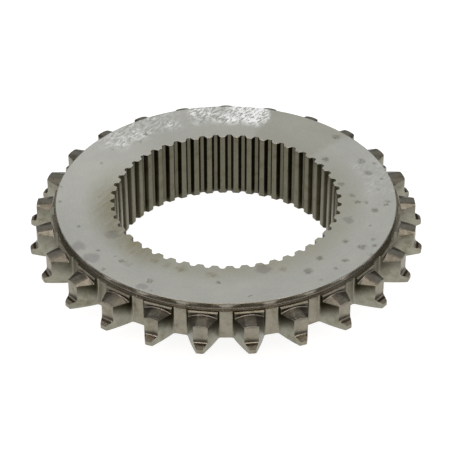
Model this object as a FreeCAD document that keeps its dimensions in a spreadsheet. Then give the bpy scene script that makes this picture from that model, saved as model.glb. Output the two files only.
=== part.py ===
"""A toothed, internally splined steel ring: one turned, cut and broached piece.

A flat flange carries 25 roof-topped dog teeth with stepped toes round its rim. Above the
teeth a shallow turned neck leads up to the ground top face. Below the flange a plain hub
carries the lower half of the 50-tooth internal spline, and the ring rests on its end.

Frame: millimetres, +Z up along the ring's axis, origin at the centre of the hub's end.
One tooth of the rim points along +Y, so one tooth gap faces -Y.
"""
import FreeCAD
import Part
import Sketcher
import math
import os
from FreeCAD import Placement, Rotation, Vector

NODE = "toothed_ring"

# Driving dimensions, in millimetres, degrees or counts.
DIMENSIONS = [
    ("ring_height", 23.9, "hub end to top face, which is also the length of the spline"),
    ("flange_thickness", 13.0, "underside of the flange to the top face"),
    ("face_radius", 56.5, "outer radius of the ground top face"),
    ("face_bevel", 0.2, "bevel round the top face"),
    ("rim_height", 0.5, "top face to the upper end of the turned neck"),
    ("neck_recess", 0.6, "how far the neck's bottom lies inside the top face's edge"),
    ("neck_lean", 0.4, "height of the cone between the rim and the neck's bottom"),
    ("neck_foot_rise", 0.5, "height of the cone between the neck's bottom and the ledge"),
    ("neck_foot_reach", 0.45, "width of the cone between the neck's bottom and the ledge"),
    ("ledge_depth", 2.45, "top face down to the ledge below the neck"),
    ("hub_radius", 42.5, "outside of the hub below the flange"),
    ("hub_shoulder", 1.0, "cone in the corner of hub and flange, across and along"),
    ("hub_bevel", 0.6, "outer edge of the hub's end"),
    ("tooth_count", 25, "dog teeth round the rim"),
    ("floor_offset", 0.6, "how far the floor of the tooth gaps lies outside the top face's edge"),
    ("tooth_height", 6.2, "floor of the gaps to the teeth's upper tip land"),
    ("toe_reach", 2.4, "how far the toe below the step stands out past the tip land"),
    ("root_half", 5.0, "half the tooth's width where it leaves the floor"),
    ("root_fillet", 0.6, "flank to floor"),
    ("flank_crown", 58.0, "radius of the flanks, seen from above"),
    ("toe_half", 1.05, "half the toe's width at its tip"),
    ("toe_bevel", 0.45, "toe's lower edge"),
    ("step_depth", 10.05, "top face down to the inner corner of the step"),
    ("nose_fall", 0.67, "inner corner of the step down to the upper edge of the nose's bevel"),
    ("nose_bevel_width", 0.5, "bevel on the step's nose, across the axis"),
    ("nose_bevel_height", 0.6, "bevel on the step's nose, along the axis"),
    ("roof_offset", 0.85, "floor of the gaps to the inner end of the roof"),
    ("roof_fall_start", 0.83, "ledge down to the ridge at its inner end"),
    ("roof_fall", 4.5, "slope of the ridge, falling outwards, in degrees"),
    ("roof_half", 5.3, "half the width that the roof is cut over"),
    ("roof_drop", 1.74, "ridge down to the facet's edge at that half width"),
    ("roof_crown", 20.0, "crown radius of each roof facet"),
    ("spline_count", 50, "internal spline teeth"),
    ("spline_radius", 36.75, "radius over the tips of the spline teeth"),
    ("groove_depth", 1.6, "tips of the spline teeth to the bottoms of the grooves"),
    ("groove_half", 0.63, "half the width of a groove's bottom"),
    ("groove_flank", 28.0, "groove flank against the groove's centre line, in degrees"),
    ("groove_turn", -1.76, "the groove nearest to -Y, turned about the axis, in degrees"),
    ("bore_bevel", 0.25, "upper ends of the spline teeth"),
    ("lead_in_length", 0.9, "lower ends of the spline teeth, along the axis"),
    ("lead_in_depth", 0.4, "lower ends of the spline teeth, across the axis"),
    ("cut_margin", 1.5, "how far a cutting outline runs past the stock"),
]

FULL_TURN = 360
HALF_TURN = 180
QUARTER_TURN = 90
ORIGIN = (-1, 1)  # the sketch's own origin, as geometry and point
VERTICAL_AXIS = (-2,)  # the sketch's own vertical axis, as geometry


class Length:
    """A size as its present value and the sheet formula that keeps it up to date."""

    def __init__(self, value, formula):
        self.value = value
        self.formula = formula

    def __add__(self, other):
        return Length(self.value + other.value, f"({self.formula} + {other.formula})")

    def __sub__(self, other):
        return Length(self.value - other.value, f"({self.formula} - {other.formula})")


SIZE = {name: Length(value, f"Dimensions.{name}") for name, value, note in DIMENSIONS}
ZERO = Length(0.0, "0")
FLOOR_RADIUS = SIZE["face_radius"] + SIZE["floor_offset"]
LAND_RADIUS = FLOOR_RADIUS + SIZE["tooth_height"]
TOE_RADIUS = LAND_RADIUS + SIZE["toe_reach"]


def make_sheet(doc):
    """Write the driving dimensions to a spreadsheet, one aliased cell each."""
    sheet = doc.addObject("Spreadsheet::Sheet", "Dimensions")
    for row, (name, value, note) in enumerate(DIMENSIONS, start=1):
        sheet.set(f"A{row}", name)
        sheet.set(f"B{row}", str(value))
        sheet.set(f"C{row}", note)
        sheet.setAlias(f"B{row}", name)
    doc.recompute()


def origin_feature(body, role):
    """Return one of the body's own origin planes or axes."""
    return next(item for item in body.Origin.OriginFeatures if item.Role == role)


def new_sketch(body, name, role):
    """Add a sketch that lies on one of the body's origin planes."""
    sketch = body.newObject("Sketcher::SketchObject", name)
    sketch.AttachmentSupport = [(origin_feature(body, role), "")]
    sketch.MapMode = "FlatFace"
    return sketch


def constrain(sketch, kind, *arguments):
    """Add one geometric constraint."""
    sketch.addConstraint(Sketcher.Constraint(kind, *arguments))


def dimension(sketch, kind, *arguments, size):
    """Add one dimension and bind it to its formula on the sheet."""
    index = sketch.addConstraint(Sketcher.Constraint(kind, *arguments, size.value))
    sketch.setExpression(f"Constraints[{index}]", size.formula)


def arc_about(centre, radius, start, end):
    """Anticlockwise arc about a centre, from one point's direction to another's."""
    first = math.atan2(start.y - centre.y, start.x - centre.x)
    last = math.atan2(end.y - centre.y, end.x - centre.x)
    if last < first:
        last += 2 * math.pi
    return Part.ArcOfCircle(Part.Circle(centre, Vector(0, 0, 1), radius), first, last)


def mirrored(point):
    """The same point of a sketch on the other side of its vertical axis."""
    return Vector(-point.x, point.y, 0)


def turned_section(body):
    """Half section of the turned blank: bore, face, neck, teeth not yet cut, step and hub."""
    top = SIZE["ring_height"]
    flange = top - SIZE["flange_thickness"]
    ledge = top - SIZE["ledge_depth"]
    rim = top - SIZE["rim_height"]
    step = top - SIZE["step_depth"]
    nose = step - SIZE["nose_fall"]
    bore = SIZE["spline_radius"]
    face = SIZE["face_radius"]
    neck = face - SIZE["neck_recess"]
    hub = SIZE["hub_radius"]
    corners = [  # radius from the axis, height above the hub's end
        (bore, SIZE["lead_in_length"]),
        (bore, top - SIZE["bore_bevel"]),
        (bore + SIZE["bore_bevel"], top),
        (face - SIZE["face_bevel"], top),
        (face, top - SIZE["face_bevel"]),
        (face, rim),
        (neck, rim - SIZE["neck_lean"]),
        (neck, ledge + SIZE["neck_foot_rise"]),
        (neck + SIZE["neck_foot_reach"], ledge),
        (LAND_RADIUS, ledge),
        (LAND_RADIUS, step),
        (TOE_RADIUS - SIZE["nose_bevel_width"], nose),
        (TOE_RADIUS, nose - SIZE["nose_bevel_height"]),
        (TOE_RADIUS, flange + SIZE["toe_bevel"]),
        (TOE_RADIUS - SIZE["toe_bevel"], flange),
        (hub + SIZE["hub_shoulder"], flange),
        (hub, flange - SIZE["hub_shoulder"]),
        (hub, SIZE["hub_bevel"]),
        (hub - SIZE["hub_bevel"], ZERO),
        (bore + SIZE["lead_in_depth"], ZERO),
    ]
    sketch = new_sketch(body, "TurnedSection", "XZ_Plane")
    places = [Vector(across.value, up.value, 0) for across, up in corners]
    count = len(corners)
    for index in range(count):
        sketch.addGeometry(Part.LineSegment(places[index], places[(index + 1) % count]), False)
    for index in range(count):
        constrain(sketch, "Coincident", index, 2, (index + 1) % count, 1)
    for index, (across, up) in enumerate(corners):
        dimension(sketch, "DistanceX", *ORIGIN, index, 1, size=across)
        dimension(sketch, "DistanceY", *ORIGIN, index, 1, size=up)
    return sketch


def gap_outline(body):
    """Plan of one gap between two teeth, facing -Y: floor, two crowned flanks and fillets."""
    floor = FLOOR_RADIUS.value
    crown = SIZE["flank_crown"].value
    fillet = SIZE["root_fillet"].value
    half_pitch = math.pi / SIZE["tooth_count"].value
    along = Vector(math.sin(half_pitch), -math.cos(half_pitch), 0)
    across = Vector(along.y, -along.x, 0)
    centre = Vector(0, 0, 0)

    def on_flank(radius, half):
        """Point of the right-hand flank at a radius and a half width of its tooth."""
        return along * math.sqrt(radius**2 - half**2) + across * half

    corner = on_flank(floor, SIZE["root_half"].value)
    tip = on_flank(TOE_RADIUS.value, SIZE["toe_half"].value)
    end = tip + along * SIZE["cut_margin"].value
    chord = tip - corner
    bulge = Vector(-chord.y, chord.x, 0).normalize()
    middle = (corner + tip) * 0.5
    flank_centre = middle + bulge * math.sqrt(crown**2 - (chord.Length / 2) ** 2)

    # The fillet's centre lies outside both the floor's circle and the flank's.
    near = floor + fillet
    far = crown + fillet
    reach = flank_centre.Length
    foot = (near**2 - far**2 + reach**2) / (2 * reach)
    toward = flank_centre * (1 / reach)
    aside = Vector(toward.y, -toward.x, 0)
    fillet_centre = toward * foot + aside * math.sqrt(near**2 - foot**2)
    on_floor = fillet_centre * (floor / near)
    on_side = flank_centre + (fillet_centre - flank_centre) * (crown / far)

    sketch = new_sketch(body, "GapOutline", "XY_Plane")
    shapes = [
        arc_about(centre, floor, mirrored(on_floor), on_floor),
        arc_about(fillet_centre, fillet, on_side, on_floor),
        arc_about(flank_centre, crown, on_side, tip),
        Part.LineSegment(tip, end),
        Part.LineSegment(end, mirrored(end)),
        Part.LineSegment(mirrored(end), mirrored(tip)),
        arc_about(mirrored(flank_centre), crown, mirrored(tip), mirrored(on_side)),
        arc_about(mirrored(fillet_centre), fillet, mirrored(on_floor), mirrored(on_side)),
    ]
    root, fillet_r, flank_r, side_r, outer, side_l, flank_l, fillet_l = (
        sketch.addGeometry(shape, False) for shape in shapes
    )
    tooth_line = sketch.addGeometry(Part.LineSegment(centre, end), True)
    root_corner = sketch.addGeometry(Part.Point(corner), True)

    constrain(sketch, "Coincident", root, 3, *ORIGIN)
    constrain(sketch, "Tangent", root, 2, fillet_r, 2)
    constrain(sketch, "Tangent", fillet_r, 1, flank_r, 1)
    constrain(sketch, "Coincident", flank_r, 2, side_r, 1)
    constrain(sketch, "Coincident", side_r, 2, outer, 1)
    constrain(sketch, "Coincident", outer, 2, side_l, 1)
    constrain(sketch, "Coincident", side_l, 2, flank_l, 1)
    constrain(sketch, "Tangent", flank_l, 2, fillet_l, 2)
    constrain(sketch, "Tangent", fillet_l, 1, root, 1)
    constrain(sketch, "Symmetric", side_r, 1, side_l, 2, *VERTICAL_AXIS)
    constrain(sketch, "Symmetric", side_r, 2, side_l, 1, *VERTICAL_AXIS)
    constrain(sketch, "Symmetric", flank_r, 3, flank_l, 3, *VERTICAL_AXIS)
    constrain(sketch, "Equal", fillet_r, fillet_l)
    constrain(sketch, "Coincident", tooth_line, 1, *ORIGIN)
    constrain(sketch, "PointOnObject", root_corner, 1, root)
    constrain(sketch, "PointOnObject", root_corner, 1, flank_r)
    constrain(sketch, "Parallel", tooth_line, side_r)
    count = SIZE["tooth_count"].formula
    direction = Length(half_pitch - math.pi / 2, f"({HALF_TURN} / {count} - {QUARTER_TURN}) * 1 deg")
    dimension(sketch, "Angle", tooth_line, size=direction)
    dimension(sketch, "Distance", tooth_line, size=TOE_RADIUS)
    dimension(sketch, "Radius", root, size=FLOOR_RADIUS)
    dimension(sketch, "Radius", flank_r, size=SIZE["flank_crown"])
    dimension(sketch, "Radius", fillet_r, size=SIZE["root_fillet"])
    dimension(sketch, "Distance", root_corner, 1, tooth_line, size=SIZE["root_half"])
    dimension(sketch, "Distance", side_r, 1, tooth_line, size=SIZE["toe_half"])
    dimension(sketch, "Distance", side_r, 1, *ORIGIN, size=TOE_RADIUS)
    dimension(sketch, "Distance", side_r, size=SIZE["cut_margin"])
    return sketch


def roof_outline(body):
    """End view of what is cut away above one tooth's roof: two crowned facets and a ridge.

    The view looks along the ridge, so its plane stands at the roof's inner end and leans
    back by the ridge's fall.
    """
    half = SIZE["roof_half"].value
    drop = SIZE["roof_drop"].value
    crown = SIZE["roof_crown"].value
    above = SIZE["ledge_depth"] + SIZE["roof_fall_start"]
    ridge = Vector(0, 0, 0)
    eave = Vector(half, -drop, 0)
    chord = eave - ridge
    inward = Vector(chord.y, -chord.x, 0).normalize()
    facet_centre = chord * 0.5 + inward * math.sqrt(crown**2 - (chord.Length / 2) ** 2)

    head = Vector(half, above.value, 0)
    sketch = new_sketch(body, "RoofOutline", "XZ_Plane")
    shapes = [
        arc_about(facet_centre, crown, eave, ridge),
        Part.LineSegment(eave, head),
        Part.LineSegment(head, mirrored(head)),
        Part.LineSegment(mirrored(head), mirrored(eave)),
        arc_about(mirrored(facet_centre), crown, ridge, mirrored(eave)),
    ]
    facet_r, side_r, lid, side_l, facet_l = (sketch.addGeometry(shape, False) for shape in shapes)
    constrain(sketch, "Coincident", facet_r, 2, *ORIGIN)
    constrain(sketch, "Coincident", facet_l, 1, *ORIGIN)
    constrain(sketch, "Coincident", facet_r, 1, side_r, 1)
    constrain(sketch, "Coincident", side_r, 2, lid, 1)
    constrain(sketch, "Coincident", lid, 2, side_l, 1)
    constrain(sketch, "Coincident", side_l, 2, facet_l, 2)
    constrain(sketch, "Vertical", side_r)
    constrain(sketch, "Symmetric", lid, 1, lid, 2, *VERTICAL_AXIS)
    constrain(sketch, "Symmetric", facet_r, 1, facet_l, 2, *VERTICAL_AXIS)
    constrain(sketch, "Equal", facet_r, facet_l)
    dimension(sketch, "Radius", facet_r, size=SIZE["roof_crown"])
    dimension(sketch, "DistanceX", *ORIGIN, facet_r, 1, size=SIZE["roof_half"])
    dimension(sketch, "DistanceY", facet_r, 1, *ORIGIN, size=SIZE["roof_drop"])
    dimension(sketch, "DistanceY", *ORIGIN, lid, 1, size=above)

    ridge_height = SIZE["ring_height"] - above
    start = FLOOR_RADIUS + SIZE["roof_offset"]
    sketch.AttachmentOffset = Placement(
        Vector(0, ridge_height.value, -start.value),
        Rotation(Vector(1, 0, 0), -SIZE["roof_fall"].value),
    )
    sketch.setExpression(".AttachmentOffset.Base.y", ridge_height.formula)
    sketch.setExpression(".AttachmentOffset.Base.z", f"-{start.formula}")
    sketch.setExpression(".AttachmentOffset.Rotation.Angle", f"-{SIZE['roof_fall'].formula}")
    return sketch


def groove_outline(body):
    """Plan of one spline groove facing -Y: a bottom, two straight flanks and the open bore."""
    bottom = SIZE["spline_radius"] + SIZE["groove_depth"]
    half = SIZE["groove_half"].value
    lean = math.radians(SIZE["groove_flank"].value)
    mouth = SIZE["spline_radius"] - SIZE["cut_margin"]
    foot_y = math.sqrt(bottom.value**2 - half**2)
    mouth_half = half + (foot_y - mouth.value) * math.tan(lean)
    foot = Vector(half, -foot_y, 0)
    lip = Vector(mouth_half, -mouth.value, 0)

    sketch = new_sketch(body, "GrooveOutline", "XY_Plane")
    shapes = [
        arc_about(Vector(0, 0, 0), bottom.value, mirrored(foot), foot),
        Part.LineSegment(foot, lip),
        Part.LineSegment(lip, mirrored(lip)),
        Part.LineSegment(mirrored(lip), mirrored(foot)),
    ]
    root, flank_r, opening, flank_l = (sketch.addGeometry(shape, False) for shape in shapes)
    constrain(sketch, "Coincident", root, 3, *ORIGIN)
    constrain(sketch, "Coincident", root, 2, flank_r, 1)
    constrain(sketch, "Coincident", flank_r, 2, opening, 1)
    constrain(sketch, "Coincident", opening, 2, flank_l, 1)
    constrain(sketch, "Coincident", flank_l, 2, root, 1)
    constrain(sketch, "Symmetric", opening, 1, opening, 2, *VERTICAL_AXIS)
    constrain(sketch, "Symmetric", root, 1, root, 2, *VERTICAL_AXIS)
    steepness = Length(math.pi / 2 - lean, f"({QUARTER_TURN} - {SIZE['groove_flank'].formula}) * 1 deg")
    dimension(sketch, "Radius", root, size=bottom)
    dimension(sketch, "DistanceX", *ORIGIN, root, 2, size=SIZE["groove_half"])
    dimension(sketch, "DistanceY", opening, 1, *ORIGIN, size=mouth)
    dimension(sketch, "Angle", flank_l, 1, opening, 2, size=steepness)
    turn = SIZE["groove_turn"]
    sketch.AttachmentOffset = Placement(Vector(0, 0, 0), Rotation(Vector(0, 0, 1), turn.value))
    sketch.setExpression(".AttachmentOffset.Rotation.Angle", turn.formula)
    return sketch


def add_feature(body, kind, name, sketch):
    """Add one feature that is made from a sketch."""
    feature = body.newObject(kind, name)
    feature.Profile = sketch
    return feature


def cut_through(body, name, sketch):
    """Cut a plan outline right through the stock, both ways from the hub's end."""
    pocket = add_feature(body, "PartDesign::Pocket", name, sketch)
    pocket.Type = "ThroughAll"
    pocket.Midplane = True
    return pocket


def repeat(body, feature, name, count):
    """Repeat one cut evenly round the ring's axis."""
    pattern = body.newObject("PartDesign::PolarPattern", name)
    pattern.Originals = [feature]
    pattern.Axis = (origin_feature(body, "Z_Axis"), [""])
    pattern.Angle = FULL_TURN
    pattern.Occurrences = int(SIZE[count].value)
    pattern.setExpression("Occurrences", SIZE[count].formula)
    body.Tip = pattern
    return pattern


def removed(doc, body, volume_before, name):
    """Recompute and make sure that a cut took material away."""
    doc.recompute()
    volume = body.Shape.Volume
    if not volume < volume_before:
        raise RuntimeError(f"{name} cut nothing")
    return volume


def build(doc):
    """Model the ring as one body: turned blank, tooth gaps, roofs, spline grooves."""
    body = doc.addObject("PartDesign::Body", "Ring")
    body.Label = NODE
    blank = add_feature(body, "PartDesign::Revolution", "Blank", turned_section(body))
    blank.ReferenceAxis = (origin_feature(body, "Z_Axis"), [""])
    blank.Angle = FULL_TURN
    body.Tip = blank
    doc.recompute()
    volume = body.Shape.Volume

    gap = cut_through(body, "ToothGap", gap_outline(body))
    repeat(body, gap, "ToothGaps", "tooth_count")
    volume = removed(doc, body, volume, "ToothGaps")

    reach = SIZE["tooth_height"] - SIZE["roof_offset"] + SIZE["toe_reach"] + SIZE["cut_margin"]
    roof = add_feature(body, "PartDesign::Pocket", "Roof", roof_outline(body))
    roof.Length = reach.value
    roof.setExpression("Length", reach.formula)
    repeat(body, roof, "Roofs", "tooth_count")
    volume = removed(doc, body, volume, "Roofs")

    groove = cut_through(body, "SplineGroove", groove_outline(body))
    repeat(body, groove, "SplineGrooves", "spline_count")
    removed(doc, body, volume, "SplineGrooves")
    return body


def check(doc, bodies):
    """Stop before anything is written if an object failed or a shape is not valid."""
    for item in doc.Objects:
        if "Invalid" in item.State or "Error" in item.State:
            raise RuntimeError(f"{item.Label} failed: {item.State}")
    for body in bodies:
        shape = body.Shape
        if shape.isNull() or not shape.isValid() or len(shape.Solids) != 1:
            raise RuntimeError(f"{body.Label} is not one valid solid")


def main():
    doc = FreeCAD.newDocument("Ring")
    make_sheet(doc)
    ring = build(doc)
    check(doc, [ring])
    os.makedirs("parts", exist_ok=True)
    ring.Shape.exportStep(os.path.join("parts", f"{ring.Label}.step"))
    box = ring.Shape.BoundBox
    print(f"{ring.Label}: {ring.Shape.Volume / 1000:.2f} cm3, {len(ring.Shape.Faces)} faces")
    print(f"box {box.XLength:.2f} x {box.YLength:.2f} x {box.ZLength:.2f}, foot at {box.ZMin:.3f}")


main()
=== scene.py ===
# %% [markdown]
# # A splined dog-clutch ring of machined steel
# The real ring is one piece. It was turned, its teeth were milled, its spline was broached
# and its top face was ground flat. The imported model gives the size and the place. It also
# gives the name of the solid that the finished ring stands for.

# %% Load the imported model
import math

import bmesh
import bpy
from mathutils import Matrix, Vector


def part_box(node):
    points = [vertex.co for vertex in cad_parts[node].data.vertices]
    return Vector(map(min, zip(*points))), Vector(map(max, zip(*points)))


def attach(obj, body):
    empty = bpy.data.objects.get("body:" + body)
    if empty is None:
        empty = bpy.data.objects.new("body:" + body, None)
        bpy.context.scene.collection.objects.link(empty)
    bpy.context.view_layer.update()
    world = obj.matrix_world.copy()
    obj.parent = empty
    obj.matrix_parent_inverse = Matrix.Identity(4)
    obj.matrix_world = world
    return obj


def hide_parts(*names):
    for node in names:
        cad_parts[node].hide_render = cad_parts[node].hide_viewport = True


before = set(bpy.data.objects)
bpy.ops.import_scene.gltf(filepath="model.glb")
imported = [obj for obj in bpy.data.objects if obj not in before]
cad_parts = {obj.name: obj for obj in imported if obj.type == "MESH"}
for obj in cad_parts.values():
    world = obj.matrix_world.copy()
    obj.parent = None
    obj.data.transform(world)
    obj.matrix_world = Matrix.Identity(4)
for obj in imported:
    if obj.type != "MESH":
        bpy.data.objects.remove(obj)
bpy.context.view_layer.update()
NODE = "toothed_ring"
MM = 0.001
RING_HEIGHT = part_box(NODE)[1].z / MM
print("ring height in mm:", round(RING_HEIGHT, 3))

# %% [markdown]
# ## Sizes
# Modelling in millimetres keeps the numbers readable, so the whole ring is made in them and
# scaled once at the end. The radii build on each other in the way that a drawing of the
# part would give them: the top face first, then the floor of the gaps, the tip land, the toe.

# %% Sizes of the ring, in millimetres and degrees
TOOTH_COUNT = 25
GROOVES_PER_TOOTH = 2
PITCH = 360 / TOOTH_COUNT
FACE_RADIUS = 56.5
NECK_RADIUS = FACE_RADIUS - 0.6
FLOOR_RADIUS = FACE_RADIUS + 0.6
LAND_RADIUS = FLOOR_RADIUS + 6.2
TOE_RADIUS = LAND_RADIUS + 2.4
HUB_RADIUS = 42.5
SPLINE_RADIUS = 36.75
GROOVE_RADIUS = SPLINE_RADIUS + 1.6
RIM_LEVEL = RING_HEIGHT - 0.5
LEDGE_LEVEL = RING_HEIGHT - 2.45
STEP_LEVEL = RING_HEIGHT - 10.05
NOSE_LEVEL = STEP_LEVEL - 0.85
FLANGE_LEVEL = RING_HEIGHT - 13.0
RIDGE_LEVEL = LEDGE_LEVEL - 0.83
BORE_BEVEL = 0.25
LEAD_IN_DEPTH, LEAD_IN_LENGTH = 0.4, 0.9
CUT_MARGIN = 1.5  # how far a cutter runs past the steel
NEAR = 0.02  # what counts as lying at a level or a radius
print("tooth pitch in degrees:", PITCH)

# %% [markdown]
# ## One pitch of the turned blank
# A turned part is its half section swept round the axis. The section is drawn as one flat
# face, and each rounded corner is a vertex bevel of that face, which is how a lathe tool's
# nose radius would leave it.

# %% Draw the half section
SECTION = [  # radius, height, length of the rounding along each side, steps of the rounding
    (SPLINE_RADIUS, LEAD_IN_LENGTH, 0, 0),
    (SPLINE_RADIUS, RING_HEIGHT - BORE_BEVEL, 0, 0),
    (SPLINE_RADIUS + BORE_BEVEL, RING_HEIGHT, 0, 0),
    (FACE_RADIUS, RING_HEIGHT, 0.18, 3),
    (FACE_RADIUS, RIM_LEVEL, 0.08, 2),
    (NECK_RADIUS, RIM_LEVEL, 0.5, 5),
    (NECK_RADIUS, LEDGE_LEVEL, 0.5, 5),
    (LAND_RADIUS, LEDGE_LEVEL, 0, 0),
    (LAND_RADIUS, STEP_LEVEL, 0.6, 5),
    (TOE_RADIUS, NOSE_LEVEL, 0.6, 5),
    (TOE_RADIUS, FLANGE_LEVEL, 0.5, 4),
    (HUB_RADIUS, FLANGE_LEVEL, 1.5, 6),
    (HUB_RADIUS, 0, 0.5, 3),
    (SPLINE_RADIUS + LEAD_IN_DEPTH, 0, 0, 0),
]


def polygon(points):
    """A bmesh that holds one flat face, and its vertices in the order given."""
    shape = bmesh.new()
    corners = [shape.verts.new(point) for point in points]
    shape.faces.new(corners)
    return shape, corners


def round_corner(shape, corner, length, steps):
    """Round one corner of a flat face, starting at a length from it along both sides."""
    bmesh.ops.bevel(
        shape, geom=[corner], affect="VERTICES", offset=length, segments=steps,
        profile=0.5, material=-1, offset_type="OFFSET", clamp_overlap=False,
    )


blank, corners = polygon([(radius, 0, height) for radius, height, length, steps in SECTION])
for corner, (radius, height, length, steps) in zip(corners, SECTION):
    if steps:
        round_corner(blank, corner, length, steps)
print("corners in the half section:", len(blank.verts))

# %% [markdown]
# Only one tooth pitch is swept, because the ring repeats 25 times: one careful sector costs
# little, and every tooth comes out the same. The sector doesn't start in the middle of a
# gap. It starts a little to one side, where its end planes cross no spline groove and no
# fillet, so that the copies join without a seam.

# %% Sweep the half section through one pitch
SECTOR_START = 1.1 - PITCH / 2
SWEEP_STEPS = 12


def close_ends(shape):
    """Fill both open ends of a swept outline and turn every face outwards."""
    rim = [edge for edge in shape.edges if edge.is_boundary]
    bmesh.ops.holes_fill(shape, edges=rim, sides=0)
    bmesh.ops.recalc_face_normals(shape, faces=shape.faces[:])


bmesh.ops.rotate(
    blank, verts=blank.verts[:], cent=(0, 0, 0),
    matrix=Matrix.Rotation(math.radians(SECTOR_START), 3, "Z"),
)
bmesh.ops.delete(blank, geom=blank.faces[:], context="FACES_ONLY")
bmesh.ops.spin(
    blank, geom=blank.verts[:] + blank.edges[:], cent=(0, 0, 0), axis=(0, 0, 1),
    dvec=(0, 0, 0), angle=math.radians(PITCH), steps=SWEEP_STEPS, use_merge=False,
)
close_ends(blank)
print("faces in one pitch of the blank:", len(blank.faces))

# %% [markdown]
# ## The cutters
# The gaps, the roofs, their chamfers and the grooves are cut from the blank as a mill and a
# broach cut them. Each cutter is a flat outline, extruded. A crowned side is an arc worked
# out from its two ends and its radius, so no outline needs more than its real corners.

# %% Tools for the cutters' outlines


def arc(start, end, radius, steps):
    """Points from start to end on an arc that bulges to the left, without the last one."""
    start, end = Vector(start), Vector(end)
    chord = end - start
    left = Vector((-chord.y, chord.x)).normalized()
    half_angle = math.asin(chord.length / 2 / radius)
    centre = (start + end) / 2 - left * radius * math.cos(half_angle)
    first = start - centre
    turn = -2 * half_angle / steps
    return [centre + Matrix.Rotation(turn * step, 2) @ first for step in range(steps)]


def polar(radius, degrees):
    """A flat point at a radius and an angle."""
    return Vector((math.cos(math.radians(degrees)), math.sin(math.radians(degrees)))) * radius


def prism(shape, depth):
    """Extrude a flat face by a depth into a closed solid."""
    grown = bmesh.ops.extrude_face_region(shape, geom=shape.faces[:], use_keep_orig=True)
    moved = [item for item in grown["geom"] if isinstance(item, bmesh.types.BMVert)]
    bmesh.ops.translate(shape, verts=moved, vec=depth)
    bmesh.ops.recalc_face_normals(shape, faces=shape.faces[:])
    return shape


def to_object(shape, name, scale=1.0):
    """Turn a bmesh into an object that sits at the origin."""
    bmesh.ops.scale(shape, verts=shape.verts[:], vec=(scale, scale, scale))
    mesh = bpy.data.meshes.new(name)
    shape.to_mesh(mesh)
    shape.free()
    made = bpy.data.objects.new(name, mesh)
    bpy.context.scene.collection.objects.link(made)
    return made


print("points of an arc of six steps, without its end:", len(arc((0, 1), (1, 0), 1, 6)))

# %% [markdown]
# The gap's outline runs out along one tooth's flank, across, and back down the next tooth's
# flank. Both flanks are crowned, so the tooth is widest at its root and swells a little. The
# two corners at the floor are rounded in the same way as the section's corners.

# %% Gap cutter: the space between two teeth
ROOT_HALF = 5.0
TOE_HALF = 1.05
FLANK_CROWN = 58.0  # radius
ROOT_ROUNDING = 0.55


def on_tooth(radius, half):
    """Point of the left flank of a tooth that points along +X."""
    return Vector((math.sqrt(radius**2 - half**2), half))


def upright(point):
    """Stand a flat outline's point under the ring, ready to be extruded upwards."""
    return Vector((point.x, point.y, -CUT_MARGIN))


WAY_UP = Vector((0, 0, RING_HEIGHT + 2 * CUT_MARGIN))


def gap_cutter():
    """The gap on the left of a tooth that points along +X."""
    root = on_tooth(FLOOR_RADIUS, ROOT_HALF)
    tip = on_tooth(TOE_RADIUS, TOE_HALF)
    flank = arc(root, tip, FLANK_CROWN, 6) + [tip, tip + Vector((CUT_MARGIN, 0))]
    middle = Matrix.Rotation(math.radians(PITCH / 2), 2)
    flip = middle @ Matrix(((1, 0), (0, -1))) @ middle.inverted()
    far_flank = [flip @ point for point in reversed(flank)]
    floor = arc(far_flank[-1], root, FLOOR_RADIUS, 4)[1:]
    shape, corners = polygon([upright(point) for point in flank + far_flank + floor])
    round_corner(shape, corners[0], ROOT_ROUNDING, 4)
    round_corner(shape, corners[len(flank) + len(far_flank) - 1], ROOT_ROUNDING, 4)
    return prism(shape, WAY_UP)


print("half a tooth's width at its root and its toe:", ROOT_HALF, TOE_HALF)

# %% [markdown]
# ## Roof cutter
# Each tooth is topped by a roof of two crowned facets with a soft ridge, which falls
# outwards by a few degrees. The roof lets the sleeve's teeth slide in between when the gears
# are engaged. The mill's corner radius leaves a small fillet where the roof ends at the ledge.

# %% Roof cutter: what is milled away above one tooth
ROOF_START = FLOOR_RADIUS + 0.85
ROOF_FALL = 4.5  # degrees
ROOF_HALF, ROOF_DROP = 5.3, 1.74  # half the width cut, and how far a facet drops over it
ROOF_CROWN = 20.0  # radius
RIDGE_ROUNDING = 1.7
ROOF_FILLET = 0.35


def roof_cutter():
    """All that lies above the two facets of a tooth that points along +X."""
    left, right = Vector((-ROOF_HALF, -ROOF_DROP)), Vector((ROOF_HALF, -ROOF_DROP))
    ridge = Vector((0, 0))
    facets = arc(left, ridge, ROOF_CROWN, 3) + arc(ridge, right, ROOF_CROWN, 3) + [right]
    lid = [Vector((ROOF_HALF, CUT_MARGIN)), Vector((-ROOF_HALF, CUT_MARGIN))]
    foot = Vector((ROOF_START, 0, RIDGE_LEVEL))
    shape, corners = polygon([foot + Vector((0, point.x, point.y)) for point in facets + lid])
    round_corner(shape, corners[3], RIDGE_ROUNDING, 5)
    prism(shape, Vector((TOE_RADIUS - ROOF_START + CUT_MARGIN, 0, 0)))
    low = [corner for corner in shape.verts if corner.co.z < RIDGE_LEVEL + NEAR]
    inner = [corner for corner in low if corner.co.x < ROOF_START + NEAR]
    profile = [edge for edge in shape.edges if all(corner in inner for corner in edge.verts)]
    bmesh.ops.bevel(
        shape, geom=profile, affect="EDGES", offset=ROOF_FILLET, segments=3,
        profile=0.5, material=-1, offset_type="OFFSET", clamp_overlap=False,
    )
    tilt = Matrix.Rotation(math.radians(ROOF_FALL), 3, "Y")
    bmesh.ops.rotate(shape, verts=shape.verts[:], cent=foot, matrix=tilt)
    return shape


print("the roof starts at a radius of", ROOF_START, "mm and falls by", ROOF_FALL, "degrees")

# %% [markdown]
# The ledge doesn't end in a sharp corner above a roof: a chamfer leads down to it, and in the
# photograph it shows as a bright band over each tooth.

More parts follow.
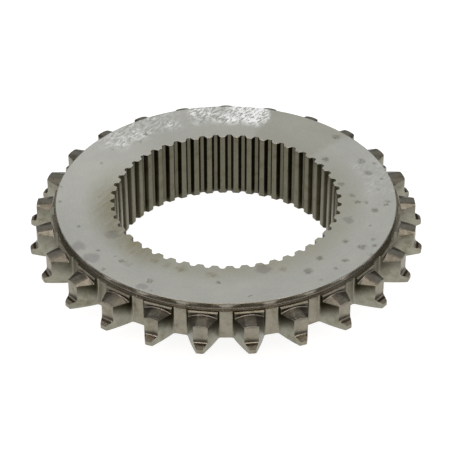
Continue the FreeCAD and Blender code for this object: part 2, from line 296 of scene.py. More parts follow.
# %% Chamfer cutter: the corner between the ledge and a roof
CHAMFER_START = ROOF_START - 0.4
CHAMFER_DROP = 0.5
CHAMFER_HALF = 5.2


def chamfer_cutter():
    """The corner of the ledge above a tooth that points along +X."""
    end = CHAMFER_START + CHAMFER_DROP
    low, high = LEDGE_LEVEL - CHAMFER_DROP, LEDGE_LEVEL + CUT_MARGIN
    outline = [(CHAMFER_START, LEDGE_LEVEL), (end, low), (end, high), (CHAMFER_START, high)]
    shape = polygon([(radius, -CHAMFER_HALF, level) for radius, level in outline])[0]
    return prism(shape, Vector((0, 2 * CHAMFER_HALF, 0)))


print("the chamfer drops by", CHAMFER_DROP, "mm")

# %% [markdown]
# ## Groove cutter
# A broach leaves straight flanks and a small radius in the corners of each groove.

# %% Groove cutter: one space of the internal spline
GROOVE_HALF = 0.63
GROOVE_FLANK = 28.0  # degrees
GROOVE_TURN = -1.76  # degrees
GROOVE_ROUNDING = 0.25


def groove_cutter():
    """One groove that points along +X."""
    foot = on_tooth(GROOVE_RADIUS, GROOVE_HALF)
    mouth = SPLINE_RADIUS - CUT_MARGIN
    spread = GROOVE_HALF + (foot.x - mouth) * math.tan(math.radians(GROOVE_FLANK))
    far_foot = Vector((foot.x, -foot.y))
    bottom = arc(foot, far_foot, GROOVE_RADIUS, 2) + [far_foot]
    outline = [Vector((mouth, spread))] + bottom + [Vector((mouth, -spread))]
    shape, corners = polygon([upright(point) for point in outline])
    for corner in (corners[1], corners[len(bottom)]):
        round_corner(shape, corner, GROOVE_ROUNDING, 3)
    return prism(shape, WAY_UP)


print("grooves in the bore:", TOOTH_COUNT * GROOVES_PER_TOOTH)

# %% [markdown]
# ## Cutting one pitch
# A Boolean modifier with the exact solver takes each cutter away. Flat faces that the sweep
# left in strips are merged again first, so that the cuts have clean edges to meet.

# %% Cut the pitch
FLAT_ENOUGH = math.radians(0.4)
MERGE_DISTANCE = 0.002


def flatten(shape):
    """Merge the strips of flat faces, such as the ledge and the underside."""
    bmesh.ops.dissolve_limit(
        shape, angle_limit=FLAT_ENOUGH, use_dissolve_boundaries=False,
        verts=shape.verts[:], edges=shape.edges[:],
    )


def turned_to(shape, degrees):
    """Turn a cutter about the ring's axis."""
    turn = Matrix.Rotation(math.radians(degrees), 3, "Z")
    bmesh.ops.rotate(shape, verts=shape.verts[:], cent=(0, 0, 0), matrix=turn)
    return shape


flatten(blank)
sector = to_object(blank, "sector")
cutters = [gap_cutter(), turned_to(gap_cutter(), -PITCH), roof_cutter(), chamfer_cutter()]
for number in range(GROOVES_PER_TOOTH):
    place = GROOVE_TURN + PITCH / GROOVES_PER_TOOTH * number
    cutters.append(turned_to(groove_cutter(), place))
for number, cutter in enumerate(cutters):
    tool = to_object(cutter, f"cutter_{number}")
    cut = sector.modifiers.new(tool.name, "BOOLEAN")
    cut.operation = "DIFFERENCE"
    cut.solver = "EXACT"
    cut.object = tool
depsgraph = bpy.context.evaluated_depsgraph_get()
pitch = bmesh.new()
pitch.from_mesh(sector.evaluated_get(depsgraph).to_mesh())
for made in [sector] + [cut.object for cut in sector.modifiers]:
    bpy.data.objects.remove(made)
bmesh.ops.remove_doubles(pitch, verts=pitch.verts[:], dist=MERGE_DISTANCE)
print("faces in one pitch:", len(pitch.faces))

# %% [markdown]
# ## Breaking the edges
# Machined teeth are deburred: every sharp corner has a tiny round that catches the light. A
# bevel of about a tenth of a millimetre does it, only on outward corners that a cutter left,
# because the section already has its own rounded corners. The ledge's edge waits, because
# it crosses the planes at which the pitch ends.

# %% Bevel the edges that the cutters left
EDGE_BREAK = 0.12
SHARP = math.radians(28)
END_TOLERANCE = 0.001


def on_end(point):
    """True where a point lies on one of the two planes at which the pitch ends."""
    for degrees in (SECTOR_START, SECTOR_START + PITCH):
        normal = polar(1, degrees + 90)
        if abs(point.x * normal.x + point.y * normal.y) < END_TOLERANCE:
            return True
    return False


def is_sharp(edge):
    """True for an outward corner that isn't part of an end plane."""
    if all(on_end(corner.co) for corner in edge.verts) or len(edge.link_faces) != 2:
        return False
    return edge.is_convex and edge.calc_face_angle() > SHARP


def is_level(edge, level):
    """True for an edge that lies at one height."""
    return all(abs(corner.co.z - level) < NEAR for corner in edge.verts)


def round_edges(shape, edges, width, steps):
    """Round a set of edges."""
    bmesh.ops.bevel(
        shape, geom=edges, affect="EDGES", offset=width, segments=steps,
        profile=0.5, material=-1, offset_type="OFFSET", clamp_overlap=False,
    )
    print("edges rounded:", len(edges), "by", width, "mm")


cut_edges = [
    edge for edge in pitch.edges if is_sharp(edge) and not is_level(edge, LEDGE_LEVEL)
]
round_edges(pitch, cut_edges, EDGE_BREAK, 2)

# %% [markdown]
# ## The whole ring
# The end faces of the pitch are deleted and the rest is copied round the axis. Merging the
# points where the copies meet closes the ring. One tooth has to point along +Y, as in the
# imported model. The ledge's edge between the teeth is worn rounder than the rest. It crosses
# the seams, so it is rounded only now that the ring is whole.

# %% Repeat the pitch round the axis and round the ledge's edge
LEDGE_ROUNDING = 0.35


def on_ledge(edge):
    """True for the ledge's outer edge above the floor of a gap."""
    radii = [math.hypot(corner.co.x, corner.co.y) for corner in edge.verts]
    at_floor = all(abs(radius - FLOOR_RADIUS) < NEAR for radius in radii)
    return at_floor and is_level(edge, LEDGE_LEVEL)


ends = [face for face in pitch.faces if all(on_end(corner.co) for corner in face.verts)]
bmesh.ops.delete(pitch, geom=ends, context="FACES")
turned_to(pitch, 90)
bmesh.ops.spin(
    pitch, geom=pitch.verts[:] + pitch.edges[:] + pitch.faces[:], cent=(0, 0, 0),
    axis=(0, 0, 1), dvec=(0, 0, 0), angle=math.radians(360 - PITCH),
    steps=TOOTH_COUNT - 1, use_duplicate=True,
)
bmesh.ops.remove_doubles(pitch, verts=pitch.verts[:], dist=MERGE_DISTANCE)
ledge_edges = [
    edge for edge in pitch.edges if on_ledge(edge) and edge.calc_face_angle() > SHARP
]
round_edges(pitch, ledge_edges, LEDGE_ROUNDING, 3)
open_edges = sum(not edge.is_manifold for edge in pitch.edges)
print("faces in the ring:", len(pitch.faces), "open edges:", open_edges)

# %% [markdown]
# ## Zones of finish
# One piece of steel can look different all over, because each surface was made in its own
# way. Every face is sorted by where it lies and which way it points, and each sort gets a
# material of its own. How steep a face is shows in the upward part of its normal, which is
# 0 for a wall and 1 for a level face. The levels and radii are those of the sizes above,
# with a little margin for the rounded edges.

# %% Sort the faces by finish
ZONES = [
    "ground_face", "turned_steel", "milled_wall", "milled_flank", "milled_roof", "step_painted_dark",
    "broached_spline", "burnished_fillet",
]


def zone_of(face):
    """Name of the finish that a face has, from its place and the way it points."""
    centre = face.calc_center_median()
    radius, level, up = math.hypot(centre.x, centre.y), centre.z, face.normal.z
    outward = (face.normal.x * centre.x + face.normal.y * centre.y) / radius
    if level > RING_HEIGHT - NEAR:
        return "ground_face"
    if radius < GROOVE_RADIUS + NEAR and level > NEAR:
        on_bevel = level > RING_HEIGHT - BORE_BEVEL - NEAR and up > 0.3
        return "burnished_fillet" if on_bevel else "broached_spline"
    in_chamfer = LEDGE_LEVEL - CHAMFER_DROP < level < LEDGE_LEVEL - 0.05
    if CHAMFER_START < radius < ROOF_START and in_chamfer and up > 0.6:
        return "milled_wall"
    on_ledge_top = radius < ROOF_START and level > LEDGE_LEVEL - LEDGE_ROUNDING
    if on_ledge_top or level < FLANGE_LEVEL + NEAR:
        return "turned_steel"
    above_step = level > STEP_LEVEL + 1
    inner_end = radius < ROOF_START + 2 * ROOF_FILLET and level < LEDGE_LEVEL and 0.2 < up < 0.93
    outer_end = radius > LAND_RADIUS - 0.3 and above_step and 0.25 < up < 0.85
    if inner_end or outer_end:
        return "burnished_fillet"
    if level < STEP_LEVEL + 0.3 and up > 0.2:
        return "step_painted_dark"
    if radius > ROOF_START and above_step and up > 0.3:
        return "milled_roof"
    return "milled_wall" if outward > 0.8 else "milled_flank"


for face in pitch.faces:
    face.material_index = ZONES.index(zone_of(face))
for number, zone in enumerate(ZONES):
    print(zone, sum(face.material_index == number for face in pitch.faces), "faces")

# %% [markdown]
# ## The finished piece
# The whole ring is shaded smooth, and only real corners stay sharp. Weighted normals keep the
# large flat faces flat up to their small rounded edges, as on machined steel. The piece rides
# on the only body and takes the place of the imported solid, which is hidden.

# %% Make the ring an object, attach it to the body and hide the imported solid
SMOOTH_UP_TO = math.radians(35)

for face in pitch.faces:
    face.smooth = True
ring = to_object(pitch, "splined_dog_ring", MM)
ring.data.set_sharp_from_angle(angle=SMOOTH_UP_TO)
weighting = ring.modifiers.new("weighting", "WEIGHTED_NORMAL")
weighting.keep_sharp = True
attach(ring, "root")
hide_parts(NODE)
print("faces in the finished piece:", len(ring.data.polygons))

# %% [markdown]
# ## Tools for the materials
# Colours are picked as sRGB hex values and turned to linear ones, because a shader works
# with light and not with screen values. A metal has no diffuse colour: its base colour is
# what it reflects, so a grey of 70% is bright steel. One small function adds every node.
# Its inputs are given by position or by name, and it hands back the output that the next
# node needs, so a pattern reads as a chain.

# %% Colours and nodes
TIMES, PLUS = {"operation": "MULTIPLY"}, {"operation": "ADD"}
TIMES_PLUS = {"operation": "MULTIPLY_ADD"}
MOST, LEAST = {"operation": "MAXIMUM"}, {"operation": "MINIMUM"}
SMOOTH = {"interpolation_type": "SMOOTHSTEP"}
FILTER = {"data_type": "RGBA", "blend_type": "MULTIPLY"}
COVER = {"data_type": "RGBA", "blend_type": "MIX"}
AMOUNT, BASE, LAYER, MIXED = 0, 6, 7, 2  # sockets of a Mix node for colours


def linear(code):
    """An sRGB hex colour as the linear colour that a shader expects."""
    channels = [int(code[start:start + 2], 16) / 255 for start in (0, 2, 4)]
    return [c / 12.92 if c <= 0.04045 else ((c + 0.055) / 1.055) ** 2.4 for c in channels] + [1]


def add_node(tree, kind, inputs=(), settings=None, output=0):
    """Add one node with its settings, link or set its inputs, and give back one output."""
    node = tree.nodes.new("ShaderNode" + kind)
    for name, value in (settings or {}).items():
        setattr(node, name, value)
    for name, value in inputs.items() if isinstance(inputs, dict) else enumerate(inputs):
        if isinstance(value, bpy.types.NodeSocket):
            tree.links.new(value, node.inputs[name])
        else:
            node.inputs[name].default_value = value
    return node.outputs[output]


print("a middle grey of 808080 is", round(linear("808080")[0], 3), "in linear light")

# %% [markdown]
# All patterns read Object coordinates in millimetres, so a noise of scale 0.5 has features
# two millimetres wide. Tool marks run round the axis, so they need coordinates that are
# stretched that way, and a stain's outline is ragged because noise shakes its coordinates.

# %% Coordinates for tool marks and stains
WIPE_DIRECTION = math.radians(57)


def steel_material(name):
    """A new metal: its node tree, its shader and its coordinates in millimetres."""
    material = bpy.data.materials.new(name)
    material.use_nodes = True
    tree = material.node_tree
    shader = tree.nodes["Principled BSDF"]
    shader.inputs["Metallic"].default_value = 1
    place = add_node(tree, "TexCoord", output="Object")
    in_mm = {"Vector": place, "Scale": (1 / MM, 1 / MM, 1 / MM)}
    return tree, shader, add_node(tree, "Mapping", in_mm)


def heading_of(tree, place):
    """The direction in which a point lies from the ring's axis."""
    flat = add_node(tree, "VectorMath", (place, (1, 1, 0)), TIMES)
    return add_node(tree, "VectorMath", (flat,), {"operation": "NORMALIZE"})


def radius_of(tree, place):
    """How far a point lies from the ring's axis, in millimetres."""
    flat = add_node(tree, "VectorMath", (place, (1, 1, 0)), TIMES)
    return add_node(tree, "VectorMath", (flat,), {"operation": "LENGTH"}, "Value")


def around_axis(tree, place, across, round_scale, along):
    """Coordinates stretched round the ring's axis, with no seam: tool marks follow them."""
    stretch = {0: heading_of(tree, place), "Scale": round_scale}
    turned = add_node(tree, "VectorMath", stretch, {"operation": "SCALE"})
    height = add_node(tree, "SeparateXYZ", (place,), output="Z")
    steps = add_node(tree, "Math", (radius_of(tree, place), across), TIMES)
    rise = add_node(tree, "Math", (height, along, steps), TIMES_PLUS)
    lift = add_node(tree, "CombineXYZ", {"Z": rise})
    return add_node(tree, "VectorMath", (turned, lift), PLUS)


def ragged(tree, place, scale, reach):
    """Coordinates shaken by noise, so that what reads them gets a ragged outline."""
    look = {"Vector": place, "Scale": scale, "Detail": 4.0, "Roughness": 0.65}
    cloud = add_node(tree, "TexNoise", look, output="Color")
    centred = add_node(tree, "VectorMath", (cloud, (0.5, 0.5, 0.5)), {"operation": "SUBTRACT"})
    return add_node(tree, "VectorMath", (centred, (reach, reach, 0), place), TIMES_PLUS)


def wiped(tree, place, length, width):
    """Coordinates stretched the way a hand wiped the ring, so that noise makes strokes."""
    turn = (0, 0, WIPE_DIRECTION)
    stretch = {"Vector": place, "Rotation": turn, "Scale": (length, width, width)}
    return add_node(tree, "Mapping", stretch, {"vector_type": "TEXTURE"})


print("a hand wiped the ring at", round(math.degrees(WIPE_DIRECTION)), "degrees")

# %% [markdown]
# A mask is a grey value that says where something lies: 1 inside and 0 outside. A stain is
# a colour laid over the steel like a thin glaze, where one mask holds or several overlap.
# Noise seldom leaves the range from 0.3 to 0.7, so that range is stretched when a pattern
# lightens and darkens a colour.

# %% Masks and layers
NOISE_RANGE = (0.3, 0.7)


def sector_mask(tree, heading, sector):
    """1 in a sector: the degrees of its direction, its half width and its soft edge."""
    degrees, half_width, softness = sector
    links = (heading, polar(1, degrees).to_3d())
    facing = add_node(tree, "VectorMath", links, {"operation": "DOT_PRODUCT"}, "Value")
    low = math.cos(math.radians(half_width + softness))
    high = math.cos(math.radians(half_width))
    return add_node(tree, "MapRange", (facing, low, high, 0.0, 1.0), SMOOTH)


def stain_mask(tree, place, spots, softness):
    """1 inside the listed spots and 0 outside, with an edge as soft as asked."""
    best = None
    for degrees, radius, size in spots:
        middle = polar(radius, degrees).to_3d() + Vector((0, 0, RING_HEIGHT))
        away = add_node(tree, "VectorMath", (place, middle), {"operation": "DISTANCE"}, "Value")
        inside = add_node(tree, "Math", (away, -1 / size, 1.0), TIMES_PLUS)
        best = inside if best is None else add_node(tree, "Math", (best, inside), MOST)
    return add_node(tree, "MapRange", (best, 0.0, softness, 0.0, 1.0), SMOOTH)


def overlap(tree, *masks):
    """How much of a stain is left where several masks and strengths come together."""
    amount = masks[0]
    for mask in masks[1:]:
        amount = add_node(tree, "Math", (amount, mask), TIMES)
    return amount


def stained(tree, colour, code, *masks):
    """A colour with a stain laid over it like a glaze, where the masks overlap."""
    glaze = {AMOUNT: overlap(tree, *masks), BASE: colour, LAYER: linear(code)}
    return add_node(tree, "Mix", glaze, FILTER, MIXED)


def mottled(tree, colour, pattern, low, high):
    """A colour darkened and brightened by a noise pattern, between two factors near 1."""
    level = add_node(tree, "MapRange", (pattern, *NOISE_RANGE, low, high))
    return add_node(tree, "Mix", {AMOUNT: 1.0, BASE: colour, LAYER: level}, FILTER, MIXED)


print("noise is read from", NOISE_RANGE[0], "to", NOISE_RANGE[1])

# %% [markdown]
# ## Ground top face
# The real metal is hardened gear steel, and surface grinding left this face flat, fine and
# satin, so it shows the studio as a soft, cool grey sheen. The grinding lines are finer than
# a pixel, and are drawn about half a millimetre apart so that they just show. The far left
# is a little brighter.

# %% Material: ground steel, bare
GRIND_LINES = (2.2, 9.0, 0.0)  # how fine they are outwards, round the axis and upwards
GRIND_DEPTH = 0.008  # mm
BRIGHTER_SECTOR = (157, 12, 22)  # a sector: its direction, half width and soft edge, in degrees

tree, shader, place = steel_material("ground_face")
heading, radius = heading_of(tree, place), radius_of(tree, place)
rings = around_axis(tree, place, *GRIND_LINES)
marks = add_node(tree, "TexNoise", {"Vector": rings, "Scale": 1, "Detail": 4, "Roughness": 0.6})
look = {"Vector": place, "Scale": 0.07, "Detail": 5, "Roughness": 0.6}
clouds = add_node(tree, "TexNoise", look)
grain = add_node(tree, "TexNoise", {"Vector": place, "Scale": 1.3, "Detail": 3, "Roughness": 0.7})
colour = mottled(tree, linear("B9BAB3"), clouds, 0.90, 1.06)
colour = mottled(tree, colour, grain, 0.95, 1.05)
colour = mottled(tree, colour, marks, 0.97, 1.03)
shaken = ragged(tree, place, 0.35, 5.0)
shaken_heading = heading_of(tree, shaken)
# A sector at the far left is made up to 13% brighter.
brighter_side = sector_mask(tree, shaken_heading, BRIGHTER_SECTOR)
brighter = add_node(tree, "MapRange", (brighter_side, 0.0, 1.0, 1.0, 1.13))
colour = add_node(tree, "Mix", {AMOUNT: 1.0, BASE: colour, LAYER: brighter}, FILTER, MIXED)
relief = add_node(tree, "Bump", {"Height": marks, "Distance": GRIND_DEPTH * MM})
tree.links.new(relief, shader.inputs["Normal"])
print("nodes of bare ground steel:", len(tree.nodes))

# %% [markdown]
# What makes the face real is what happened to it since. Dried oil has left pale patches by
# the rim, a brown haze with wiped streaks by the bore, and small ragged spots all over. The
# places are read off the object as an angle, a radius and a half width, and noise bends
# their outlines.

# %% Material: dried oil on the ground steel
OIL_PATCHES = [  # degrees round the axis, radius in mm, half width in mm
    (287, 40.5, 3.4), (209, 54, 3.2), (217, 54, 3.4), (241, 54.5, 2.1), (209, 42, 2.8),
    (343, 42, 2.4),
]
BROWN_SMEARS = [
    (218, 42, 2.6), (225, 41.5, 2.6), (236, 41.2, 3.0), (250, 41, 2.8), (295, 43, 2.2),
    (264, 42, 2.4), (178, 42, 2.2), (243, 41.5, 2.2), (229, 47, 2.0),
]
SPOTS = [
    (352, 49.5, 1.8), (357, 46.5, 1.2), (356, 53, 1.1), (342, 49.5, 0.7), (334, 52.5, 0.9),
    (328, 51.5, 1.9), (331, 54.5, 1.2), (328, 45.5, 1.5), (312, 44.5, 1.5), (303, 47.5, 2.2),
    (318, 51, 1.4), (312, 52, 1.0), (304, 53.5, 0.8), (278, 53, 0.8), (326, 56, 1.1),
    (44, 53, 1.8), (34, 41, 1.9), (25, 51, 2.0), (22, 54.5, 1.4), (17, 50, 2.0), (12, 53.5, 0.8),
    (6, 51, 1.1), (12, 39.5, 1.6), (2, 42, 1.4), (357, 43.5, 1.4), (358, 53.5, 1.2),
    (126, 48, 1.6), (131, 45, 0.9), (131, 48, 0.8), (143, 49, 0.8), (154, 47, 1.0),
    (136, 50, 0.8), (173, 55.5, 0.9), (182, 55, 0.9), (198, 50.5, 0.8), (215, 50, 0.9),
    (226, 48, 1.5), (222, 47.5, 0.7), (225, 55, 1.2), (242, 51, 1.5), (245, 55, 0.7),
    (267, 45.5, 1.2),
]
HANDLED_RADII = (38.0, 49.0)  # mm, where handling begins to fade and where it ends
LESS_HANDLED = (95, 45, 30)
HAZE = (203, 26, 16)

colour = stained(tree, colour, "D6D3D8", stain_mask(tree, shaken, OIL_PATCHES, 0.5), 0.7)
by_the_bore = add_node(tree, "MapRange", (radius, *HANDLED_RADII, 1.0, 0.0), SMOOTH)
touched = add_node(tree, "MapRange", (clouds, *NOISE_RANGE, 0.3, 1.0))
back = sector_mask(tree, heading, LESS_HANDLED)
back = add_node(tree, "MapRange", (back, 0.0, 1.0, 1.0, 0.25))
colour = stained(tree, colour, "E2DFD1", by_the_bore, touched, back)

hand = wiped(tree, place, 5.0, 0.9)
strokes = add_node(tree, "TexNoise", {"Vector": hand, "Scale": 1, "Detail": 4, "Roughness": 0.65})
faint = add_node(tree, "MapRange", (strokes, 0.32, 0.62, 0.3, 0.75))
haze = overlap(tree, by_the_bore, sector_mask(tree, shaken_heading, HAZE), faint)
streaky = add_node(tree, "MapRange", (strokes, 0.35, 0.6, 0.2, 0.8))
smears = overlap(tree, stain_mask(tree, shaken, BROWN_SMEARS, 0.9), streaky)
colour = stained(tree, colour, "CEC6AE", add_node(tree, "Math", (haze, smears), MOST))

look = {"Vector": place, "Scale": 1.1, "Detail": 3, "Roughness": 0.7}
holes = add_node(tree, "MapRange", (add_node(tree, "TexNoise", look), 0.35, 0.6, 0.35, 1.0))
finely_shaken = ragged(tree, place, 0.8, 3.2)
colour = stained(tree, colour, "BFBDB6", stain_mask(tree, finely_shaken, SPOTS, 0.7), holes)
print("stains:", len(OIL_PATCHES) + len(BROWN_SMEARS) + len(SPOTS))

# %% [markdown]
# At the back a film of oil has dried in wiped ridges, which the shape doesn't have. Their tops
# are painted white as glitter, a painted highlight of the bright panel, and painted shade
# darkens the hollows between them. The film is thinner on the left, dull beside the glitter,
# and only a few streaks are left of it on the right.

# %% Material: the film of oil at the back of the ground steel
DRY_FILM, WET_FILM, LEFT_FILM = (58, 14, 5), (89, 13, 4), (126, 11, 9)
RIGHT_STREAKS, DENSER_GLINTS = (14, 7, 7), (80, 7, 5)
FILM_RADII, STREAK_RADII = (43.0, 49.0), (45.0, 48.0)  # mm, from bare steel to full film

colour = stained(tree, colour, "E6E3DA", sector_mask(tree, shaken_heading, DRY_FILM), 0.6)
left_film = overlap(tree, sector_mask(tree, shaken_heading, LEFT_FILM), 0.65)
wet_film = sector_mask(tree, shaken_heading, WET_FILM)
painted_light_area = add_node(tree, "Math", (wet_film, left_film), MOST)
off_the_bore = add_node(tree, "MapRange", (radius, *FILM_RADII, 0.0, 1.0), SMOOTH)
painted_light_area = overlap(tree, painted_light_area, off_the_bore)
outer_half = add_node(tree, "MapRange", (radius, *STREAK_RADII, 0.0, 1.0), SMOOTH)
right_streaks = overlap(tree, sector_mask(tree, heading, RIGHT_STREAKS), 0.18, outer_half)
painted_light_area = add_node(tree, "Math", (painted_light_area, right_streaks), MOST)

hand = wiped(tree, place, 2.4, 1.0)
ripple = add_node(tree, "TexNoise", {"Vector": hand, "Scale": 1, "Detail": 5, "Roughness": 0.75})
look = {"Vector": place, "Scale": 0.14, "Detail": 3, "Roughness": 0.6}
clusters = add_node(tree, "MapRange", (add_node(tree, "TexNoise", look), 0.42, 0.58, 0.35, 1.0))
# More painted glitter in this sector.
denser_glints = sector_mask(tree, shaken_heading, DENSER_GLINTS)
ridges = add_node(tree, "Math", (denser_glints, 0.025, ripple), TIMES_PLUS)
ridges = add_node(tree, "MapRange", (ridges, 0.46, 0.57, 0.0, 1.0))
clusters = add_node(tree, "Math", (denser_glints, 0.4, clusters), TIMES_PLUS)
painted_glitter = overlap(tree, ridges, clusters, painted_light_area)
# Painted glint: the base colour turns white on the glitter.
painted_glint = {AMOUNT: painted_glitter, BASE: colour, LAYER: linear("FFFFFF")}
colour = add_node(tree, "Mix", painted_glint, COVER, MIXED)
# Painted shade in the hollows between the ridges.
painted_hollow_shade = add_node(tree, "MapRange", (ripple, 0.38, 0.47, 0.3, 0.0))
tree.links.new(stained(tree, colour, "8C8C88", painted_light_area, painted_hollow_shade), shader.inputs["Base Color"])
satin = add_node(tree, "MapRange", (clouds, *NOISE_RANGE, 0.28, 0.36))
glossier = add_node(tree, "MapRange", (painted_glitter, 0.0, 1.0, 1.0, 0.35))
tree.links.new(overlap(tree, satin, glossier), shader.inputs["Roughness"])
print("nodes of the ground face:", len(tree.nodes))

# %% [markdown]
# ## Turned, milled and broached steel
# The other surfaces are the same gear steel, each worked by its own tool. They share one
# recipe: soft clouds of tarnish, tool marks, a fine grain, and thin stains in patches. The
# real marks are a few hundredths of a millimetre apart, too fine for the render, so they are
# drawn as coarse as they need to show, between half a millimetre and three.

# %% The recipe for worked steel


def worked_steel(name, code, stain, roughness, marks, depth, contrast):
    """A worked steel with tool marks of a depth in mm: its tree, shader, place and colour.

    The marks are given as the grinding lines are, and the roughness as its two ends.
    """
    tree, shader, place = steel_material(name)
    rings = around_axis(tree, place, *marks)
    look = {"Vector": rings, "Scale": 1, "Detail": 3, "Roughness": 0.6}
    lines = add_node(tree, "TexNoise", look)
    look = {"Vector": place, "Scale": 0.22, "Detail": 5, "Roughness": 0.65}
    clouds = add_node(tree, "TexNoise", look)
    look = {"Vector": place, "Scale": 1.4, "Detail": 3, "Roughness": 0.6}
    grain = add_node(tree, "TexNoise", look)
    colour = mottled(tree, linear(code), clouds, 1 - 0.12 * contrast, 1 + 0.10 * contrast)
    for pattern in (lines, grain):
        colour = mottled(tree, colour, pattern, 1 - 0.06 * contrast, 1 + 0.06 * contrast)
    look = {"Vector": ragged(tree, place, 0.5, 2.0), "Scale": 0.3, "Detail": 4, "Roughness": 0.6}
    patches = add_node(tree, "MapRange", (add_node(tree, "TexNoise", look), 0.52, 0.70, 0.0, 0.7))
    dull = add_node(tree, "MapRange", (clouds, *NOISE_RANGE, *roughness))
    tree.links.new(dull, shader.inputs["Roughness"])
    relief = add_node(tree, "Bump", {"Height": lines, "Distance": depth * MM})
    tree.links.new(relief, shader.inputs["Normal"])
    return tree, shader, place, stained(tree, colour, stain, patches)


print("finishes that use the recipe:", len(ZONES) - 1)

# %% [markdown]
# The neck, the ledge and the underside were turned on a lathe. The tool polished the neck
# until it mirrors the teeth, so it is glossy and has little grain. Painted shade darkens the
# rim's top edge and the neck's foot. Both sides by the ledge, the front and the rounded edge
# of the ledge are darker too.

# %% Material: turned steel
NECK_SIDES, NECK_FRONT = [(0, 30, 35), (180, 30, 35)], (270, 22, 20)

tree, shader, place, colour = worked_steel(
    "turned_steel", "BAB5AB", stain="D2CCC0", roughness=(0.23, 0.30), marks=(0.8, 3.0, 0.8),
    depth=0.001, contrast=0.35,
)
heading, radius = heading_of(tree, place), radius_of(tree, place)
height = add_node(tree, "SeparateXYZ", (place,), output="Z")
above_flange = add_node(tree, "MapRange", (height, FLANGE_LEVEL + 1, FLANGE_LEVEL + 2, 0.0, 1.0))
low_neck = (height, LEDGE_LEVEL + 0.3, LEDGE_LEVEL + 0.8, 0.85, 0.0)
low_neck = add_node(tree, "MapRange", low_neck)
# Painted shade along the rim's top edge. The sides by the ledge, the front and the ledge's
# rounded edge are darker too.
darkening = []
for side in NECK_SIDES:
    darkening.append(overlap(tree, sector_mask(tree, heading, side), low_neck, above_flange))
on_rim = (height, RING_HEIGHT - 0.25, RING_HEIGHT - 0.12, 0.0, 0.6)
darkening.append(add_node(tree, "MapRange", on_rim))
darkening.append(overlap(tree, sector_mask(tree, heading, NECK_FRONT), 0.55))
edge_band = add_node(tree, "MapRange", (height, LEDGE_LEVEL - 0.12, LEDGE_LEVEL - 0.03, 0.8, 0.3))
at_edge = add_node(tree, "MapRange", (radius, FACE_RADIUS + 0.1, FLOOR_RADIUS - 0.1, 0.0, 1.0))
darkening.append(overlap(tree, edge_band, at_edge, above_flange))
total = darkening[0]
for more in darkening[1:]:
    total = add_node(tree, "Math", (total, more), PLUS)
colour = stained(tree, colour, "8C8A80", add_node(tree, "Math", (total, 1.0), LEAST))
# Painted shade in the neck's concave foot above the ledge.
foot = add_node(tree, "MapRange", (height, LEDGE_LEVEL + 0.08, LEDGE_LEVEL + 0.32, 0.8, 0.0))
off_ledge = add_node(tree, "MapRange", (height, LEDGE_LEVEL, LEDGE_LEVEL + 0.04, 0.0, 1.0))
tree.links.new(stained(tree, colour, "6A665C", foot, off_ledge), shader.inputs["Base Color"])
print("kinds of dirt on the turned steel:", len(darkening))

# %% [markdown]
# The roofs were milled, then rubbed by the sleeve's teeth, so they are brown, fairly smooth
# and strongly mottled. The small fillets at their ends are burnished brighter and catch the
# lamp as a thin line.

# %% Materials: burnished fillets and milled roofs
tree, shader, place, colour = worked_steel(
    "burnished_fillet", "9C968C", stain="B0A898", roughness=(0.17, 0.45),
    marks=(1.5, 25.0, 0.3), depth=0.002, contrast=2.0,
)
tree.links.new(colour, shader.inputs["Base Color"])
tree, shader, place, colour = worked_steel(
    "milled_roof", "706D63", stain="BEB6A6", roughness=(0.23, 0.46),
    marks=(1.0, 12.0, 0.3), depth=0.010, contrast=1.8,
)
tree.links.new(colour, shader.inputs["Base Color"])
print("a roof's node tree has", len(tree.nodes), "nodes")

# %% [markdown]
# The tip lands, the toes' ends and the small chamfers are milled too, but the sleeve doesn't
# reach them, so they stay duller. Painted shade darkens the corner above the step and the
# corner where the chamfer meets the roof, and the top of each tip land is darker too.

# %% Material: milled walls
WALL_DARK = "5E564A"
LAND_TOP = LEDGE_LEVEL - 1.4
CORNER = LEDGE_LEVEL - CHAMFER_DROP

tree, shader, place, colour = worked_steel(
    "milled_wall", "8D897B", stain="C4BCA6", roughness=(0.37, 0.48),
    marks=(0.3, 30.0, 0.3), depth=0.015, contrast=1.4,
)
radius = radius_of(tree, place)
height = add_node(tree, "SeparateXYZ", (place,), output="Z")
places = {  # of each darkening: where it starts and ends along the height or the radius
    "above the step": [
        (height, STEP_LEVEL, STEP_LEVEL + 1.8, 0.85, 0.0),
        (radius, LAND_RADIUS - 1.3, LAND_RADIUS - 0.3, 0.0, 1.0),
        (height, NOSE_LEVEL, STEP_LEVEL, 0.0, 1.0),
    ],
    "at the top of the tip land": [
        (height, LAND_TOP - 1.2, LAND_TOP, 0.0, 0.5),
        (radius, LAND_RADIUS - 1.3, LAND_RADIUS - 0.7, 0.0, 1.0),
    ],
    "under the chamfer": [
        (height, CORNER - 0.25, CORNER + 0.25, 0.75, 0.0),
        (radius, ROOF_START + 0.2, ROOF_START + 0.5, 1.0, 0.0),
        (radius, FLOOR_RADIUS + 0.05, FLOOR_RADIUS + 0.2, 0.0, 1.0),
    ],
}
# Painted shade in the two corners, and a darker top on each tip land.
for first, *others in places.values():
    masks = [add_node(tree, "MapRange", first, SMOOTH)]
    masks += [add_node(tree, "MapRange", other) for other in others]
    colour = stained(tree, colour, WALL_DARK, *masks)
tree.links.new(colour, shader.inputs["Base Color"])
# These are the painted shade and the darker land tops above.
print("oil on the walls:", ", ".join(places))

# %% [markdown]
# The flanks are as milled: dull, and a little olive. Painted shade darkens them high up under
# the roofs, and most at the front.

# %% Material: milled flanks
SHADE_SLOPE = 0.35  # the painted shade's lower edge climbs this much for each mm outwards
FRONT = (270, 35, 45)

